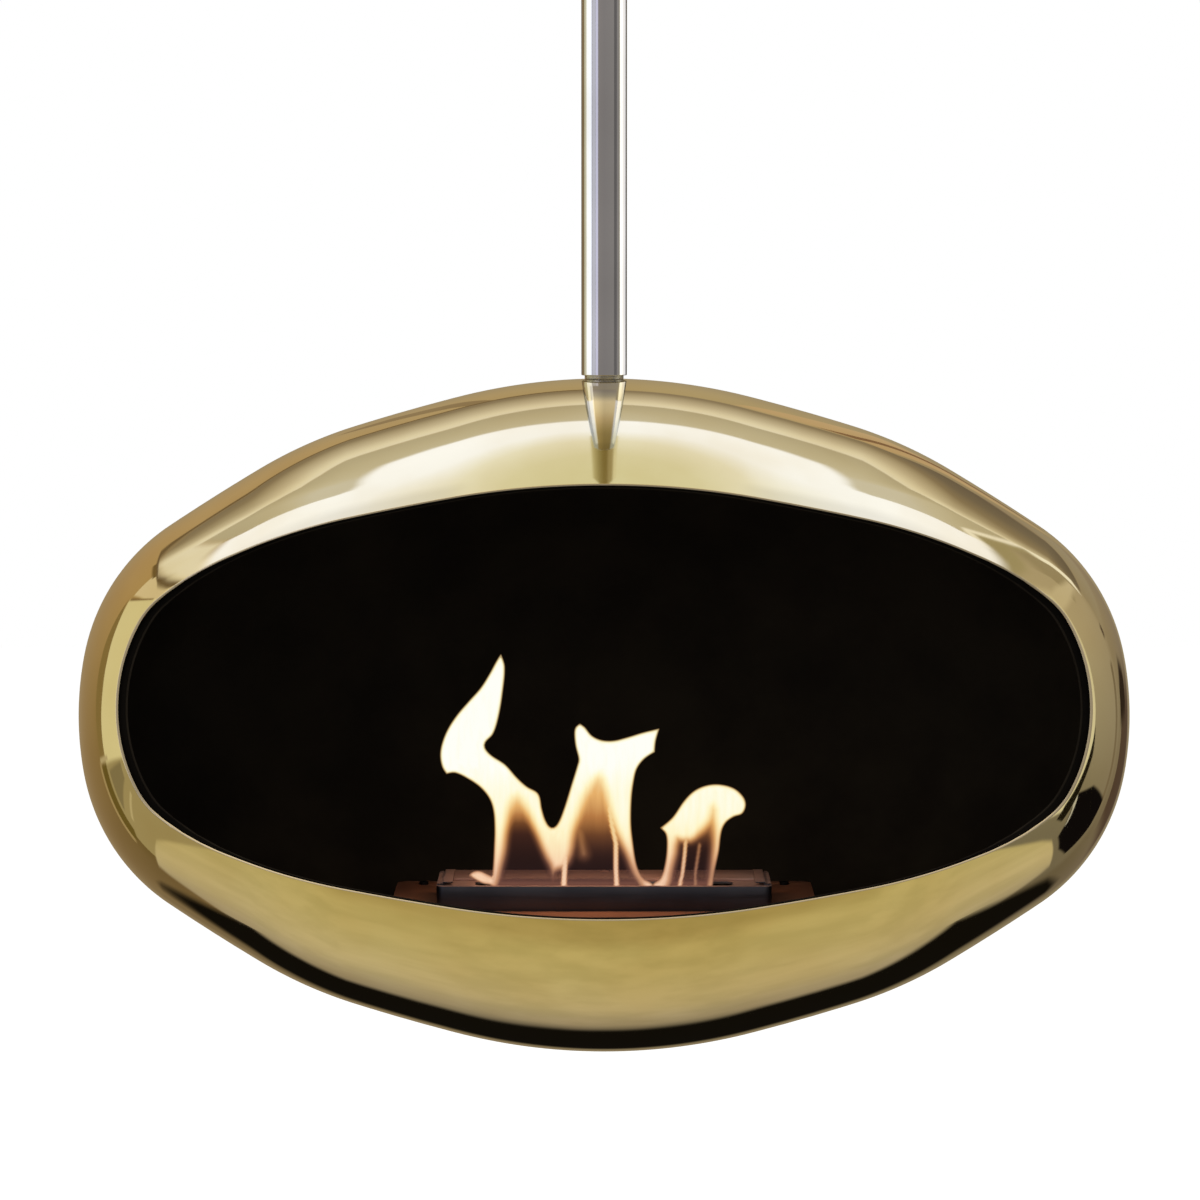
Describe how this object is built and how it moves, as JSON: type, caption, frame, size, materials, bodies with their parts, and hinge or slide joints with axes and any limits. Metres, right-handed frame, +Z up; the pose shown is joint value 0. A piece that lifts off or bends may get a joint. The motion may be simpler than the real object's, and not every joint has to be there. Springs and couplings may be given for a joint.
{
  "type": "hanging fireplace",
  "caption": "Spun oval fireplace pod with a wide mouth, hung on a round pole that turns on a thrust bearing at the ceiling, with a slot burner whose lid slides.",
  "frame": {"origin": "centre of the ceiling plate's top face, where it meets the ceiling", "axes": "+Z up along the pole and its turning axis, -Y out of the pod's mouth towards the viewer, +X to the viewer's right along the pod's long level axis"},
  "size_m": [0.9808, 0.5886, 1.1409],
  "materials": {
    "zinc_steel": "zinc plated, satin",
    "black_screws": "black oxide",
    "bronze": "turned sintered bronze",
    "bearing_steel": "ground and polished",
    "polished_steel": "mirror polished stainless steel",
    "machined_steel": "turned, bare",
    "polished_gold": "mirror polished, pale gold",
    "black_paint": "matt black heat-resistant paint",
    "tray_paint": "satin dark brown heat-resistant paint",
    "burner_steel": "brushed stainless steel, heat tinted blue-grey",
    "lid_steel": "brushed stainless steel, heat tinted brown",
    "ceramic_fibre": "white ceramic wool"
  },
  "bodies": {
    "ceiling_mount": {"ceiling_plate": "zinc_steel", "housing_screws": "black_screws", "bearing_housing": "zinc_steel", "guide_bush": "bronze", "lower_race": "bearing_steel", "ceiling_cover": "polished_steel", "cover_screws": "black_screws"},
    "ball_cage": {"bearing_balls": "bearing_steel", "bearing_cage": "bronze"},
    "pod": {"upper_race": "bearing_steel", "nut_washer": "zinc_steel", "lock_nut": "zinc_steel", "pole_plug": "machined_steel", "pole": "polished_steel", "pole_neck": "machined_steel", "neck_screws": "black_screws", "pod_shell": "polished_gold", "crown_doubler": "machined_steel", "crown_boss": "black_paint", "pod_liner": "black_paint", "mouth_frame": "black_paint", "liner_spacers": "machined_steel", "liner_screws": "black_paint", "burner_tray": "tray_paint", "tray_rail_left": "tray_paint", "tray_rail_right": "tray_paint", "tray_screws": "black_screws", "burner_tank": "burner_steel", "fibre_block": "ceramic_fibre", "burner_deck": "burner_steel", "lid_guide_left": "burner_steel", "lid_guide_right": "burner_steel", "guide_rivets": "burner_steel"},
    "lid": {"burner_lid": "lid_steel"}
  },
  "joints": [
    {"name": "pod_swivel", "type": "hinge", "parent": "ceiling_mount", "child": "pod", "pos_m": [0, 0, 0], "axis": [0, 0, 1], "continuous": true},
    {"name": "cage_turn", "type": "hinge", "parent": "ceiling_mount", "child": "ball_cage", "pos_m": [0, 0, 0], "axis": [0, 0, 1], "continuous": true},
    {"name": "lid_slide", "type": "slide", "parent": "pod", "child": "lid", "axis": [0, -1, 0], "range_m": [0, 0.035]}
  ],
  "couplings": [
    {"joint": "cage_turn", "follows": "pod_swivel", "ratio": 0.5}
  ]
}
